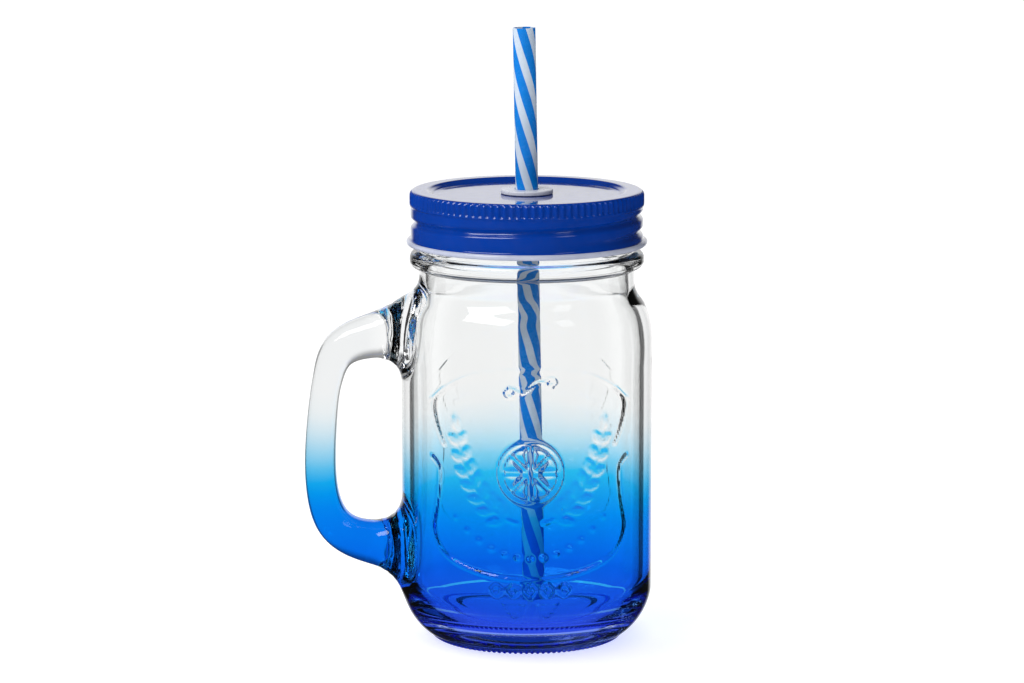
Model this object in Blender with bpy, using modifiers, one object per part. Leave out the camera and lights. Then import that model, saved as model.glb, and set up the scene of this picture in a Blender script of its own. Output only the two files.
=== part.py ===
"""Glass drinking jar with a side handle, a screw lid, a grommet and a straw.

Units are metres and +Z is up. The jar stands on z = 0. Its axis is upright at x = AXIS_X, so that
the box round the whole object is centred on the origin. The handle points to -X and the panel
that faces the user points to -Y. Lengths below are in millimetres and are scaled by MM on use.
"""

import math

import bmesh
import bpy

MM = 0.001
COLLECTION = "drinking_jar"

# Jar body
BODY_R = 39.0
BASE_R = 26.0
RING_INNER_R = 22.8
RING_ROUND = 3.0
PUSH_UP = 1.8
HEEL_H = 16.0
HEEL_POWER = 1.7
HEEL_ROWS = (1.0, 0.72, 0.5, 0.32, 0.18, 0.08, 0.0)
WALL = 3.7
FLOOR_Z = 8.0
FLOOR_FLAT_R = 20.0
COVE = (10.5, 13.0)
NECK_R = 33.4
MOUTH_R = 30.6
JAR_TOP = 139.2
BEAD_Z = 120.0
BEAD_R = 36.25
BEAD_HALF_H = 2.7

# Radius and height along the shoulder: outside from the neck down, inside from the body up
SHOULDER_OUTSIDE = (
    (33.4, 111.6),
    (33.75, 110.0),
    (34.7, 108.0),
    (36.1, 106.0),
    (37.2, 104.0),
    (38.15, 101.0),
    (38.85, 97.0),
    (39.0, 92.0),
)
SHOULDER_INSIDE = (
    (35.3, 90.0),
    (35.1, 95.0),
    (34.6, 99.0),
    (33.6, 102.5),
    (32.3, 105.5),
    (31.3, 108.5),
    (30.6, 113.0),
)

# Screw thread, right-hand, five to the inch
PITCH = 5.08
GLASS_THREAD_R = 33.8
GLASS_THREAD_BEAD = 1.2
GLASS_THREAD_SINK = 1.1
GLASS_THREAD_POINTS = 46
GLASS_THREAD_START = math.radians(20.0)
GLASS_THREAD_TURN = math.radians(450.0)
LID_THREAD_START = math.radians(20.0)
LID_THREAD_TURN = math.radians(500.0)
LID_THREAD_Z = 127.4
THREAD_FADE = math.radians(40.0)
GROOVE_DEPTH = 1.2
GROOVE_HALF_W = 1.5
FRONT = math.radians(-90.0)

# Handle: x from the jar's axis, z, half thickness and half width of its section, root to root
HANDLE_STATIONS = (
    (-35.9, 97.2, 8.6, 9.2),
    (-41.0, 96.4, 8.0, 8.6),
    (-47.5, 95.1, 7.0, 7.9),
    (-54.0, 93.2, 6.2, 7.4),
    (-59.4, 89.0, 5.5, 7.2),
    (-61.9, 82.0, 4.8, 7.1),
    (-63.3, 74.0, 4.65, 7.1),
    (-64.45, 59.0, 4.85, 7.2),
    (-63.9, 45.5, 5.0, 7.2),
    (-60.6, 36.0, 5.5, 7.3),
    (-54.0, 31.0, 6.1, 7.6),
    (-46.3, 29.2, 7.1, 8.2),
    (-41.0, 28.5, 8.3, 8.9),
    (-36.3, 28.2, 9.0, 9.4),
)
HANDLE_POWER = 2.5
HANDLE_REACH = 69.3
HANDLE_SIDES = 16
HANDLE_RINGS = 34

# Lid
LID_TOP = 140.9
LID_SHEET = 0.4
PANEL_DEPTH = 1.3
PANEL_R = 28.7
RIM_INNER_R = 31.2
RIM_OUTER_R = 34.9
RIM_ROUND = 1.45
SKIRT_R = 36.1
BAND_R = 36.35
BAND_LOW_Z = 136.4
BAND_STEP = 0.4
CURL_R = 1.0
CURL_Z = 124.9
SKIRT_LOW = 1.9
SKIRT_ROWS = 12
HOLE_R = 5.9

# Sealing ring
SEAL_R = (31.7, 34.7)
SEAL_Z = (139.5, 140.2)
SEAL_BEVEL = (0.3, 0.2)

# Grommet
FLANGE_R = 8.1
FLANGE_H = 1.1
WAIST_R = 5.6
FOOT_R = 7.2
FOOT_H = 1.2
BORE_R = 3.75
GAP = 0.2

# Straw
STRAW_R = 3.5
STRAW_WALL = 0.5
STRAW_TOP_Z = 191.0
STRAW_FLOOR_GAP = 0.4
STRAW_LEAN = math.radians(1.0)

AXIS_X = (HANDLE_REACH - BODY_R) / 2
PANEL_Z = LID_TOP - PANEL_DEPTH
JAR_STEPS = 60
LID_STEPS = 60


def clear_scene():
    for obj in list(bpy.data.objects):
        bpy.data.objects.remove(obj, do_unlink=True)


def make_collection(name):
    collection = bpy.data.collections.new(name)
    bpy.context.scene.collection.children.link(collection)
    return collection


def make_material(name, colour, roughness, metallic=0.0, transmission=0.0):
    material = bpy.data.materials.new(name)
    material.use_nodes = True
    shader = material.node_tree.nodes["Principled BSDF"]
    shader.inputs["Base Color"].default_value = (*colour, 1.0)
    shader.inputs["Roughness"].default_value = roughness
    shader.inputs["Metallic"].default_value = metallic
    shader.inputs["Transmission Weight"].default_value = transmission
    material.diffuse_color = (*colour, 1.0)
    return material


def arc(centre, radii, start, end, count):
    """Points on an ellipse about centre, from angle start to end in degrees, both included."""
    angles = [math.radians(start + (end - start) * i / count) for i in range(count + 1)]
    return [(centre[0] + radii[0] * math.cos(a), centre[1] + radii[1] * math.sin(a)) for a in angles]


def link(name, mesh, collection, parent, material=None):
    obj = bpy.data.objects.new(name, mesh)
    collection.objects.link(obj)
    obj.parent = parent
    if material:
        mesh.materials.append(material)
    return obj


def profile_mesh(name, points, closed):
    """An edge-only mesh in the XZ plane, for a Screw modifier to turn about Z."""
    mesh = bpy.data.meshes.new(name)
    count = len(points)
    edges = [(i, (i + 1) % count) for i in range(count if closed else count - 1)]
    mesh.from_pydata([(r * MM, 0.0, z * MM) for r, z in points], edges, [])
    return mesh


def turned(name, points, closed, steps, collection, parent, material):
    """A profile of (radius, height) turned once about its object's Z axis."""
    obj = link(name, profile_mesh(name, points, closed), collection, parent, material)
    screw = obj.modifiers.new("turn", "SCREW")
    screw.steps = steps
    screw.render_steps = steps
    screw.use_merge_vertices = True
    screw.merge_threshold = 0.00001
    screw.use_smooth_shade = True
    return obj


def make_real(obj):
    """Puts the evaluated shape into the object's own mesh, and drops its modifiers."""
    graph = bpy.context.evaluated_depsgraph_get()
    mesh = bpy.data.meshes.new_from_object(obj.evaluated_get(graph))
    obj.modifiers.clear()
    obj.data = mesh


def boolean(obj, other, operation):
    modifier = obj.modifiers.new(operation.lower(), "BOOLEAN")
    modifier.operation = operation
    modifier.object = other


def hide_tool(obj):
    obj.hide_render = True
    obj.display_type = "WIRE"


def heel_radius(z):
    """Outer radius of the rounded heel: a superellipse quarter from the base ring to the body."""
    fall = (HEEL_H - z) / HEEL_H
    return BASE_R + (BODY_R - BASE_R) * (1.0 - fall**HEEL_POWER) ** (1.0 / HEEL_POWER)


def jar_profile():
    """From the floor's centre, up the inside, over the lip, down the outside and under the base."""
    across, up = COVE
    inside = [(0.0, FLOOR_Z), (FLOOR_FLAT_R, FLOOR_Z)]
    inside += arc((BODY_R - WALL - across, FLOOR_Z + up), COVE, -90, 0, 6)
    inside += SHOULDER_INSIDE
    lip = (NECK_R - MOUTH_R) / 2
    over = arc((MOUTH_R + lip, JAR_TOP - lip), (lip, lip), 180, 0, 6)
    bead = arc((NECK_R, BEAD_Z), (BEAD_R - NECK_R, BEAD_HALF_H), 85, -85, 6)
    heel = [(heel_radius(HEEL_H * k), HEEL_H * k) for k in HEEL_ROWS]
    under = [(RING_INNER_R, 0.0), (RING_INNER_R - RING_ROUND, PUSH_UP * 0.7), (0.0, PUSH_UP)]
    return inside + over + bead + list(SHOULDER_OUTSIDE) + heel + under


def thread_height(angle):
    """Height of the lid's rolled thread at an angle counted up from the front."""
    return LID_THREAD_Z + PITCH * (angle - LID_THREAD_START) / math.tau


def glass_thread(collection, parent):
    """A helical bead that fades into the neck at both ends, half a pitch above the lid's thread."""
    curve = bpy.data.curves.new("glass_thread", "CURVE")
    curve.dimensions = "3D"
    curve.bevel_depth = GLASS_THREAD_BEAD * MM
    curve.bevel_resolution = 2
    curve.use_fill_caps = True
    spline = curve.splines.new("POLY")
    spline.points.add(GLASS_THREAD_POINTS - 1)
    for i, point in enumerate(spline.points):
        turn = GLASS_THREAD_TURN * i / (GLASS_THREAD_POINTS - 1)
        angle = GLASS_THREAD_START + turn
        fade = min(1.0, turn / THREAD_FADE, (GLASS_THREAD_TURN - turn) / THREAD_FADE)
        r = (GLASS_THREAD_R - GLASS_THREAD_SINK * (1.0 - fade)) * MM
        z = (thread_height(angle) + PITCH / 2) * MM
        point.co = (r * math.cos(FRONT + angle), r * math.sin(FRONT + angle), z, 1.0)
    tube = link("thread_curve", curve, collection, parent)
    bpy.context.view_layer.update()
    graph = bpy.context.evaluated_depsgraph_get()
    mesh = bpy.data.meshes.new_from_object(tube.evaluated_get(graph))
    weld(mesh)
    bead = link("thread_bead", mesh, collection, parent)
    bpy.data.objects.remove(tube, do_unlink=True)
    hide_tool(bead)
    return bead


def weld(mesh):
    shape = bmesh.new()
    shape.from_mesh(mesh)
    bmesh.ops.remove_doubles(shape, verts=shape.verts, dist=0.00001)
    bmesh.ops.recalc_face_normals(shape, faces=shape.faces)
    shape.to_mesh(mesh)
    shape.free()


def between(stations, position):
    """A Catmull-Rom curve through the stations, read at a position counted in stations."""
    last = len(stations) - 1
    i = min(int(position), last - 1)
    t = position - i
    near = [stations[max(0, min(last, k))] for k in range(i - 1, i + 3)]
    return [
        0.5 * (2 * b + (c - a) * t + (2 * a - 5 * b + 4 * c - d) * t**2 + (3 * b - a - 3 * c + d) * t**3)
        for a, b, c, d in zip(*near)
    ]


def handle_ring(position):
    """One superellipse section, square to the handle's path, whose long side runs along Y."""
    x, z, half_thick, half_wide = between(HANDLE_STATIONS, position)
    ahead = between(HANDLE_STATIONS, min(position + 0.05, len(HANDLE_STATIONS) - 1.001))
    behind = between(HANDLE_STATIONS, max(position - 0.05, 0.0))
    run = math.hypot(ahead[0] - behind[0], ahead[1] - behind[1])
    along = ((ahead[0] - behind[0]) / run, (ahead[1] - behind[1]) / run)
    ring = []
    for k in range(HANDLE_SIDES):
        a = math.tau * (k + 0.5) / HANDLE_SIDES
        across = half_thick * math.copysign(abs(math.cos(a)) ** (2 / HANDLE_POWER), math.cos(a))
        wide = half_wide * math.copysign(abs(math.sin(a)) ** (2 / HANDLE_POWER), math.sin(a))
        ring.append(((x - along[1] * across) * MM, wide * MM, (z + along[0] * across) * MM))
    return ring


def handle_loft(collection, parent):
    """The handle as a loft through unlike sections, closed by a flat cap inside each joint."""
    last = len(HANDLE_STATIONS) - 1.001
    shape = bmesh.new()
    loops = [
        [shape.verts.new(co) for co in handle_ring(last * i / (HANDLE_RINGS - 1))]
        for i in range(HANDLE_RINGS)
    ]
    for low, high in zip(loops, loops[1:]):
        for k in range(HANDLE_SIDES):
            n = (k + 1) % HANDLE_SIDES
            shape.faces.new((low[k], low[n], high[n], high[k]))
    shape.faces.new(loops[0])
    shape.faces.new(loops[-1])
    bmesh.ops.recalc_face_normals(shape, faces=shape.faces)
    mesh = bpy.data.meshes.new("handle_loft")
    shape.to_mesh(mesh)
    shape.free()
    handle = link("handle_loft", mesh, collection, parent)
    hide_tool(handle)
    return handle


def make_jar(parts, cutters, parent):
    glass = make_material("blue_faded_glass", (0.55, 0.75, 0.95), 0.05, transmission=0.9)
    jar = turned("glass_jar", jar_profile(), False, JAR_STEPS, parts, parent, glass)
    boolean(jar, glass_thread(cutters, parent), "UNION")
    boolean(jar, handle_loft(cutters, parent), "UNION")


def groove(angle, z):
    """How far the lid's thread is rolled inwards at this angle from the front and this height."""
    depth = 0.0
    for turn in (angle, angle + math.tau):
        run = turn - LID_THREAD_START
        left = LID_THREAD_TURN - run
        if run <= 0.0 or left <= 0.0:
            continue
        off = abs(z - thread_height(turn)) / GROOVE_HALF_W
        if off < 1.0:
            ends = min(1.0, run / THREAD_FADE, left / THREAD_FADE)
            depth = max(depth, GROOVE_DEPTH * ends * 0.5 * (1.0 + math.cos(math.pi * off)))
    return depth


def lid_profile():
    """The sheet's outer face, from the hole in the panel out over the rim and down to the curl."""
    panel = [(HOLE_R, PANEL_Z), (PANEL_R, PANEL_Z)]
    wall = [(PANEL_R + 1.0, PANEL_Z + 0.25), (PANEL_R + 1.75, LID_TOP - 0.25)]
    rim = [(RIM_INNER_R, LID_TOP), (RIM_OUTER_R, LID_TOP)]
    corner = arc((RIM_OUTER_R, LID_TOP - RIM_ROUND), (BAND_R - RIM_OUTER_R, RIM_ROUND), 68, 0, 3)
    band = [(BAND_R, BAND_LOW_Z + BAND_STEP), (SKIRT_R, BAND_LOW_Z)]
    step = (BAND_LOW_Z - CURL_Z - SKIRT_LOW) / SKIRT_ROWS
    skirt = [(SKIRT_R, BAND_LOW_Z - step * k) for k in range(1, SKIRT_ROWS + 1)]
    curl = arc((SKIRT_R, CURL_Z), (CURL_R, CURL_R), 60, -160, 6)
    return panel + wall + rim + corner + band + skirt + curl


def make_lid(parts, parent):
    paint = make_material("blue_lid_enamel", (0.003, 0.05, 0.34), 0.25, metallic=0.3)
    lid = turned("lid_shell", lid_profile(), False, LID_STEPS, parts, parent, paint)
    bpy.context.view_layer.update()
    make_real(lid)
    for vertex in lid.data.vertices:
        x, y, z = vertex.co
        radius = math.hypot(x, y)
        if radius > (SKIRT_R - 0.5) * MM and z < BAND_LOW_Z * MM and z > (CURL_Z + 1.2) * MM:
            angle = (math.atan2(y, x) - FRONT) % math.tau
            share = 1.0 - groove(angle, z / MM) * MM / radius
            vertex.co = (x * share, y * share, z)
    sheet = lid.modifiers.new("sheet", "SOLIDIFY")
    sheet.thickness = LID_SHEET * MM
    sheet.offset = -1.0
    return lid


def make_seal(parts, parent):
    compound = make_material("sealing_compound", (0.82, 0.8, 0.76), 0.6)
    (inner, outer), (low, high) = SEAL_R, SEAL_Z
    across, up = SEAL_BEVEL
    profile = [(inner, high), (outer, high), (outer, low + up), (outer - across, low)]
    profile += [(inner + across, low), (inner, low + up)]
    turned("lid_gasket", profile, True, JAR_STEPS, parts, parent, compound)


def grommet_profile():
    """From the bore over the top flange, in to the waist, and out again round the foot."""
    top = PANEL_Z + GAP + FLANGE_H
    under = PANEL_Z - LID_SHEET - GAP
    flange = [(BORE_R + 0.3, top), (FLANGE_R - 0.4, top), (FLANGE_R, top - 0.4)]
    flange += [(FLANGE_R, PANEL_Z + GAP + 0.2), (FLANGE_R - 0.2, PANEL_Z + GAP)]
    foot = [(WAIST_R, PANEL_Z + GAP), (WAIST_R, under), (FOOT_R, under)]
    foot += [(FOOT_R, under - 0.5), (FOOT_R - 0.8, under - FOOT_H)]
    bore = [(BORE_R + 0.2, under - FOOT_H), (BORE_R, under - FOOT_H + 0.3), (BORE_R, top - 0.3)]
    return flange + foot + bore


def make_grommet(parts, parent):
    silicone = make_material("pale_grommet", (0.6, 0.62, 0.7), 0.35)
    turned("straw_grommet", grommet_profile(), True, 36, parts, parent, silicone)


def make_straw(parts, parent):
    """A tube whose origin is on its own axis, level with the lid's panel, leaning towards -X."""
    plastic = make_material("striped_straw", (0.1, 0.35, 0.85), 0.3)
    up = (STRAW_TOP_Z - PANEL_Z) / math.cos(STRAW_LEAN)
    down = (PANEL_Z - FLOOR_Z - STRAW_FLOOR_GAP) / math.cos(STRAW_LEAN)
    bore = STRAW_R - STRAW_WALL
    profile = [(STRAW_R, up), (STRAW_R, -down), (bore, -down), (bore, up)]
    straw = turned("straw", profile, True, 24, parts, parent, plastic)
    straw.location = (0.0, 0.0, PANEL_Z * MM)
    straw.rotation_euler = (0.0, -STRAW_LEAN, 0.0)


def smooth_shading():
    for obj in bpy.data.objects:
        if obj.type == "MESH" and obj.data.polygons:
            obj.data.shade_smooth()
            obj.data.set_sharp_from_angle(angle=math.radians(35.0))


def main():
    clear_scene()
    parts = make_collection(COLLECTION)
    cutters = make_collection(COLLECTION + "_cutters")
    axis = bpy.data.objects.new("jar_axis", None)
    axis.location = (AXIS_X * MM, 0.0, 0.0)
    parts.objects.link(axis)
    make_jar(parts, cutters, axis)
    make_lid(parts, axis)
    make_seal(parts, axis)
    make_grommet(parts, axis)
    make_straw(parts, axis)
    smooth_shading()


main()
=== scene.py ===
"""Smooth surfaces and finishes for a glass drinking jar with a screw lid, a grommet and a straw."""

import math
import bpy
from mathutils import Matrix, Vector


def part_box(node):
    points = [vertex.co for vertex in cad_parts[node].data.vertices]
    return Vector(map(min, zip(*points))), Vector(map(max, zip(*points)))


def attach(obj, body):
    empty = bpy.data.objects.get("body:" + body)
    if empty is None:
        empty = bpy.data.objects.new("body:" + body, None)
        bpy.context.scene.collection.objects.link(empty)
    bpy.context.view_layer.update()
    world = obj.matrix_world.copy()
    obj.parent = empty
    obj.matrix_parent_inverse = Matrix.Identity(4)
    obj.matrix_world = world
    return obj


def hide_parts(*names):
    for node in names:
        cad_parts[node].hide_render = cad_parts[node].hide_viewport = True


bl_info = {
    "name": "Drinking Jar",
    "version": (1, 0, 0),
    "blender": (4, 5, 0),
    "location": "3D View > Sidebar > Jar",
    "description": "Builds a handled glass jar, its enamelled screw lid, grommet and striped straw",
    "category": "Object",
}

import bpy
import numpy as np
from bpy.props import FloatProperty, FloatVectorProperty, IntProperty, PointerProperty
from bpy.types import NodeSocket, Operator, Panel, PropertyGroup
from mathutils import Vector

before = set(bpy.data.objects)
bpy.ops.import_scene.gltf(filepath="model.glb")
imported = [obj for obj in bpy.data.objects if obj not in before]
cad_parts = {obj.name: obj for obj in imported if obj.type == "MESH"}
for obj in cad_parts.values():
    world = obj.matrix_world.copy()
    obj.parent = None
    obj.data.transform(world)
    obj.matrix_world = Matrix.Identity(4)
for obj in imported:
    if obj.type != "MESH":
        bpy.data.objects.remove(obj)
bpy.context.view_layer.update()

MM = 0.001
LID_LOW, LID_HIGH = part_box("lid_shell")
JAR_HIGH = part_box("glass_jar")[1]
AXIS_X = (LID_LOW.x + LID_HIGH.x) / 2
LID_TOP = LID_HIGH.z / MM
JAR_TOP = JAR_HIGH.z / MM
BODY_R = JAR_HIGH.y / MM
STRAW_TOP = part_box("straw")[1].z / MM
RIM_H = 1.3
PANEL_Z = LID_TOP - RIM_H
FRONT = -math.pi / 2

# The jar's outline, in millimetres from its axis and from the surface that it stands on
WALL = 3.7
FLOOR_Z = 8.0
BASE_R = 26.0
RING_INNER_R = 22.8
PUSH_UP = 1.8
HEEL_H = 16.0
HEEL_POWER = 1.7
FOOT_LINE_R = 30.6
FOOT_LINE_DIP = 0.28
FOOT_LINE_HALF = 0.9
PUSH_UP_COVE = 4.0
NECK_R = 33.4
MOUTH_R = 30.6
BEAD_Z = 119.4
BEAD_R = 36.25
BEAD_HALF_H = 2.4
COVE = (10.5, 13.0)
NECK_LOW = 114.0
SHOULDER_OUTSIDE = (
    (33.4, 114.0),
    (33.42, 111.6),
    (33.75, 110.0),
    (34.7, 108.0),
    (36.1, 106.0),
    (37.2, 104.0),
    (38.15, 101.0),
    (38.85, 97.0),
    (39.0, 92.5),
    (39.0, 88.0),
)
SHOULDER_INSIDE = (
    (35.3, 86.0),
    (35.3, 90.0),
    (35.1, 95.0),
    (34.6, 99.0),
    (33.6, 102.5),
    (32.3, 105.5),
    (31.3, 108.5),
    (30.75, 111.5),
    (30.6, 115.0),
    (30.6, 118.0),
)
# A line within the wall, as heights and radii: the faces on its inner side carry no coat
MID_WALL_Z = (90.0, 95.0, 99.0, 102.5, 105.5, 108.5, 112.0, 116.0)
MID_WALL_R = (36.8, 36.6, 36.0, 35.2, 33.9, 32.3, 31.8, 31.5)

# The screw thread
PITCH = 5.08
THREAD_START = math.radians(20.0)
LID_THREAD_Z = 127.4
GLASS_THREAD_TURN = math.radians(450.0)
GLASS_THREAD_H = 1.55
GLASS_THREAD_HALF = 1.35
LID_THREAD_TURN = math.radians(500.0)
LID_THREAD_HALF = 1.75
THREAD_FADE = math.radians(40.0)

# The handle: x from the jar's axis, z, half thickness and half width of its section
HANDLE_STATIONS = np.array(
    (
        (-35.9, 97.2, 8.6, 9.2),
        (-41.0, 96.4, 8.0, 8.6),
        (-47.5, 95.1, 7.0, 7.9),
        (-54.0, 93.2, 6.2, 7.4),
        (-59.4, 89.0, 5.5, 7.2),
        (-61.9, 82.0, 4.8, 7.1),
        (-63.3, 74.0, 4.65, 7.1),
        (-64.45, 59.0, 4.85, 7.2),
        (-63.9, 45.5, 5.0, 7.2),
        (-60.6, 36.0, 5.5, 7.3),
        (-54.0, 31.0, 6.1, 7.6),
        (-46.3, 29.2, 7.1, 8.2),
        (-41.0, 28.5, 8.3, 8.9),
        (-36.3, 28.2, 9.0, 9.4),
    )
)
HANDLE_POWER = 2.5
JOINT_BLEND = 9.0
JOINT_RIPPLE = 0.14
ROOT_R = 43.5

# Where the panel's ornaments lie: across the panel along the glass, and height
PANEL_TURN = math.radians(1.7)
PANEL_HALF = 36.0
PANEL_RISE = 2.0
SLICE_V = 57.0
RING_R = 9.6
SEGMENT_R = 7.7
CORE_R = 1.9
BEAD_PITCH = 4.0
BEADS_V = 30.5
PANEL_BEAD_R = 1.25
FOOT_SCROLLS_V = 24.0
ARCH = ((-34.6, 77.6), (-28.3, 81.8), (-16.9, 86.9), (0.0, 88.8))
SHIELD_TOP = ((28.6, 81.6), (32.2, 78.4), (32.8, 74.6), (31.2, 69.6), (28.6, 64.6))
SHIELD_HOOK = ((33.8, 60.0), (32.0, 58.9), (30.6, 57.4))
SHIELD_LOW = (
    (30.6, 57.4),
    (30.5, 52.0),
    (31.8, 44.4),
    (33.0, 38.2),
    (30.6, 32.6),
    (24.4, 28.2),
    (12.4, 24.8),
    (0.0, 23.6),
)


# Shapes worked out on grids


def natural_spline(knots, count):
    """Points on the natural cubic spline through knots that are one unit of its parameter apart.

    The second derivatives solve the usual three-term system with zero at both ends. Between two
    knots the curve is the cubic with those second derivatives.
    """
    knots = np.asarray(knots, float)
    last = len(knots) - 1
    system = np.eye(last + 1)
    right = np.zeros_like(knots)
    for i in range(1, last):
        system[i, i - 1 : i + 2] = (1.0, 4.0, 1.0)
        right[i] = 6.0 * (knots[i - 1] - 2.0 * knots[i] + knots[i + 1])
    bend = np.linalg.solve(system, right)
    at = np.linspace(0.0, last, count)
    i = np.minimum(at.astype(int), last - 1)
    t = (at - i)[:, None]
    s = 1.0 - t
    pull = (t**3 - t) * bend[i + 1] + (s**3 - s) * bend[i]
    return s * knots[i] + t * knots[i + 1] + pull / 6.0


def arc(centre, radii, start, end, count):
    """Points on a circle of one radius or an ellipse of two about centre, between angles in degrees."""
    a = np.radians(np.linspace(start, end, count))
    return np.asarray(centre, float) + radii * np.stack((np.cos(a), np.sin(a)), axis=1)


def spaced(points, step):
    """The same line with points about step apart, measured along it."""
    points = np.asarray(points, float)
    run = np.concatenate(([0.0], np.cumsum(np.hypot(*np.diff(points, axis=0).T))))
    at = np.linspace(0.0, run[-1], max(2, int(round(run[-1] / step)) + 1))
    return np.stack([np.interp(at, run, points[:, k]) for k in (0, 1)], axis=1)


def joined(*lines):
    """Lines end to end, without a repeated point where one ends and the next begins."""
    rows = np.concatenate(lines)
    apart = np.hypot(*np.diff(rows, axis=0).T) > 1e-6
    return rows[np.concatenate(([True], apart))]


def softened(values, sigma):
    """Values smoothed by a bell of that many samples, with the ends held."""
    reach = int(3 * sigma)
    bell = np.exp(-0.5 * (np.arange(-reach, reach + 1) / sigma) ** 2)
    padded = np.concatenate((np.full(reach, values[0]), values, np.full(reach, values[-1])))
    return np.convolve(padded, bell / bell.sum(), mode="valid")


def crest(off):
    """One at zero, falling along half a cosine to nothing at one and beyond."""
    return 0.5 + 0.5 * np.cos(math.pi * np.minimum(np.abs(off), 1.0))


def grid_faces(rows, cols, poles=(False, False), loop=False):
    """Faces of a grid whose columns close on themselves, as arrays of point numbers.

    A row marked as a pole is one point. With loop the last row also joins the first.
    """
    index = np.arange(rows * cols).reshape(rows, cols)
    if poles[0]:
        index[0] = index[0, 0]
    if poles[1]:
        index[-1] = index[-1, 0]
    if loop:
        index = np.concatenate((index, index[:1]))
    turned = np.roll(index, -1, axis=1)
    quads = np.stack((index[:-1], index[1:], turned[1:], turned[:-1]), axis=-1)
    first = [quads[0][:, (0, 1, 2)]] if poles[0] else []
    last = [quads[-1][:, (0, 1, 3)]] if poles[1] else []
    return [*first, quads[len(first) : len(quads) - len(last)].reshape(-1, 4), *last]


def skin(name, points, faces):
    """An object from points in millimetres from the jar's foot, less those that no face uses."""
    used, flat = np.unique(np.concatenate([f.ravel() for f in faces]), return_inverse=True)
    sizes = np.concatenate([np.full(len(f), f.shape[1]) for f in faces])
    starts = np.cumsum(sizes) - sizes
    places = points.reshape(-1, 3)[used] * MM + (AXIS_X, 0.0, 0.0)
    mesh = bpy.data.meshes.new(name)
    mesh.vertices.add(len(places))
    mesh.vertices.foreach_set("co", places.astype(np.float32).ravel())
    mesh.loops.add(len(flat))
    mesh.loops.foreach_set("vertex_index", flat.astype(np.int32))
    mesh.polygons.add(len(sizes))
    mesh.polygons.foreach_set("loop_start", starts.astype(np.int32))
    mesh.update(calc_edges=True)
    mesh.validate()
    mesh.shade_smooth()
    obj = bpy.data.objects.new(name, mesh)
    bpy.context.scene.collection.objects.link(obj)
    return obj


def surface(name, grid, poles=(False, False), loop=False):
    """An object from one grid of points."""
    return skin(name, grid, grid_faces(*grid.shape[:2], poles, loop))


def revolve(outline, angles, push=None):
    """The grid of an outline of (radius, height) turned about the axis; push adds to the radius."""
    r = np.repeat(outline[:, :1], len(angles), axis=1)
    if push is not None:
        r = r + push
    z = np.repeat(outline[:, 1:], len(angles), axis=1)
    return np.stack((r * np.cos(angles), r * np.sin(angles), z), axis=-1)


def even_angles(count):
    return FRONT + np.arange(count) * math.tau / count


# Finishes


class Nodes:
    """A node tree under construction, with short words for the nodes that this file uses."""

    def __init__(self, tree):
        self.tree = tree

    def node(self, kind, **settings):
        made = self.tree.nodes.new(kind)
        for key, value in settings.items():
            setattr(made, key, value)
        return made

    def put(self, value, socket):
        """Wires a value that is another node's output, and sets any other one."""
        if isinstance(value, NodeSocket):
            self.tree.links.new(value, socket)
        else:
            socket.default_value = value

    def feed(self, made, **values):
        for key, value in values.items():
            self.put(value, made.inputs[key.replace("_", " ")])

    def split(self, vector):
        made = self.node("ShaderNodeSeparateXYZ")
        self.feed(made, Vector=vector)
        return made.outputs

    def maths(self, operation, *values):
        made = self.node("ShaderNodeMath", operation=operation)
        for socket, value in zip(made.inputs, values):
            self.put(value, socket)
        return made.outputs[0]

    def spread(self, value, low, high, to_low, to_high, ease="LINEAR"):
        made = self.node("ShaderNodeMapRange", interpolation_type=ease)
        self.feed(made, Value=value, From_Min=low, From_Max=high, To_Min=to_low, To_Max=to_high)
        return made.outputs["Result"]

    def blend(self, factor, first, second, kind="RGBA", way="MIX"):
        made = self.node("ShaderNodeMix", data_type=kind, blend_type=way)
        self.feed(made, Factor=factor, A=first, B=second)
        return made.outputs["Result"]


class Finish(Nodes):
    """A material under construction."""

    def __init__(self, name, **constants):
        self.material = bpy.data.materials.new(name)
        self.material.use_nodes = True
        super().__init__(self.material.node_tree)
        self.shader = self.tree.nodes["Principled BSDF"]
        self.feed(self.shader, **constants)

    def place(self):
        """The point's coordinates, in metres."""
        return self.node("ShaderNodeTexCoord").outputs["Object"]

    def noise(self, scale, detail=3.0):
        made = self.node("ShaderNodeTexNoise")
        self.feed(made, Vector=self.place(), Scale=scale, Detail=detail)
        return made.outputs["Fac"]

    def mottle(self, scale, detail, low=0.0, high=1.0, reach=0.2):
        """Noise spread from low to high, where reach is how far from its middle value it counts."""
        return self.spread(self.noise(scale, detail), 0.5 - reach, 0.5 + reach, low, high)

    def ramp(self, value, stops):
        made = self.node("ShaderNodeValToRGB")
        ramp = made.color_ramp
        while len(ramp.elements) < len(stops):
            ramp.elements.new(0.5)
        for element, (position, colour) in zip(ramp.elements, stops):
            element.position = position
            element.color = (*colour, 1.0)
        self.feed(made, Fac=value)
        return made.outputs["Color"]

    def tones(self, factor, low, high):
        """The finish's colour, between two plain colours."""
        self.feed(self.shader, Base_Color=self.blend(factor, (*low, 1.0), (*high, 1.0)))

    def gloss(self, scale, detail, low, high):
        """Roughness that wanders from low to high."""
        self.feed(self.shader, Roughness=self.mottle(scale, detail, low, high))

    def bump(self, scale, detail, strength, distance):
        made = self.node("ShaderNodeBump")
        self.feed(made, Strength=strength, Distance=distance, Height=self.noise(scale, detail))
        self.feed(self.shader, Normal=made.outputs["Normal"])


def scaled(colour, share):
    return [min(1.0, part * share) for part in colour]


COAT_TOP = 100.0 * MM
COAT_DRIFT = 1.2 * MM
HANDLE_COAT_LIFT = 2.2 * MM
# Grey for the handle's glass: partly the tone of thick glass, partly painted shade
HANDLE_TONE_AND_PAINTED_SHADE = (0.91, 0.92, 0.925, 1.0)


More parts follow.
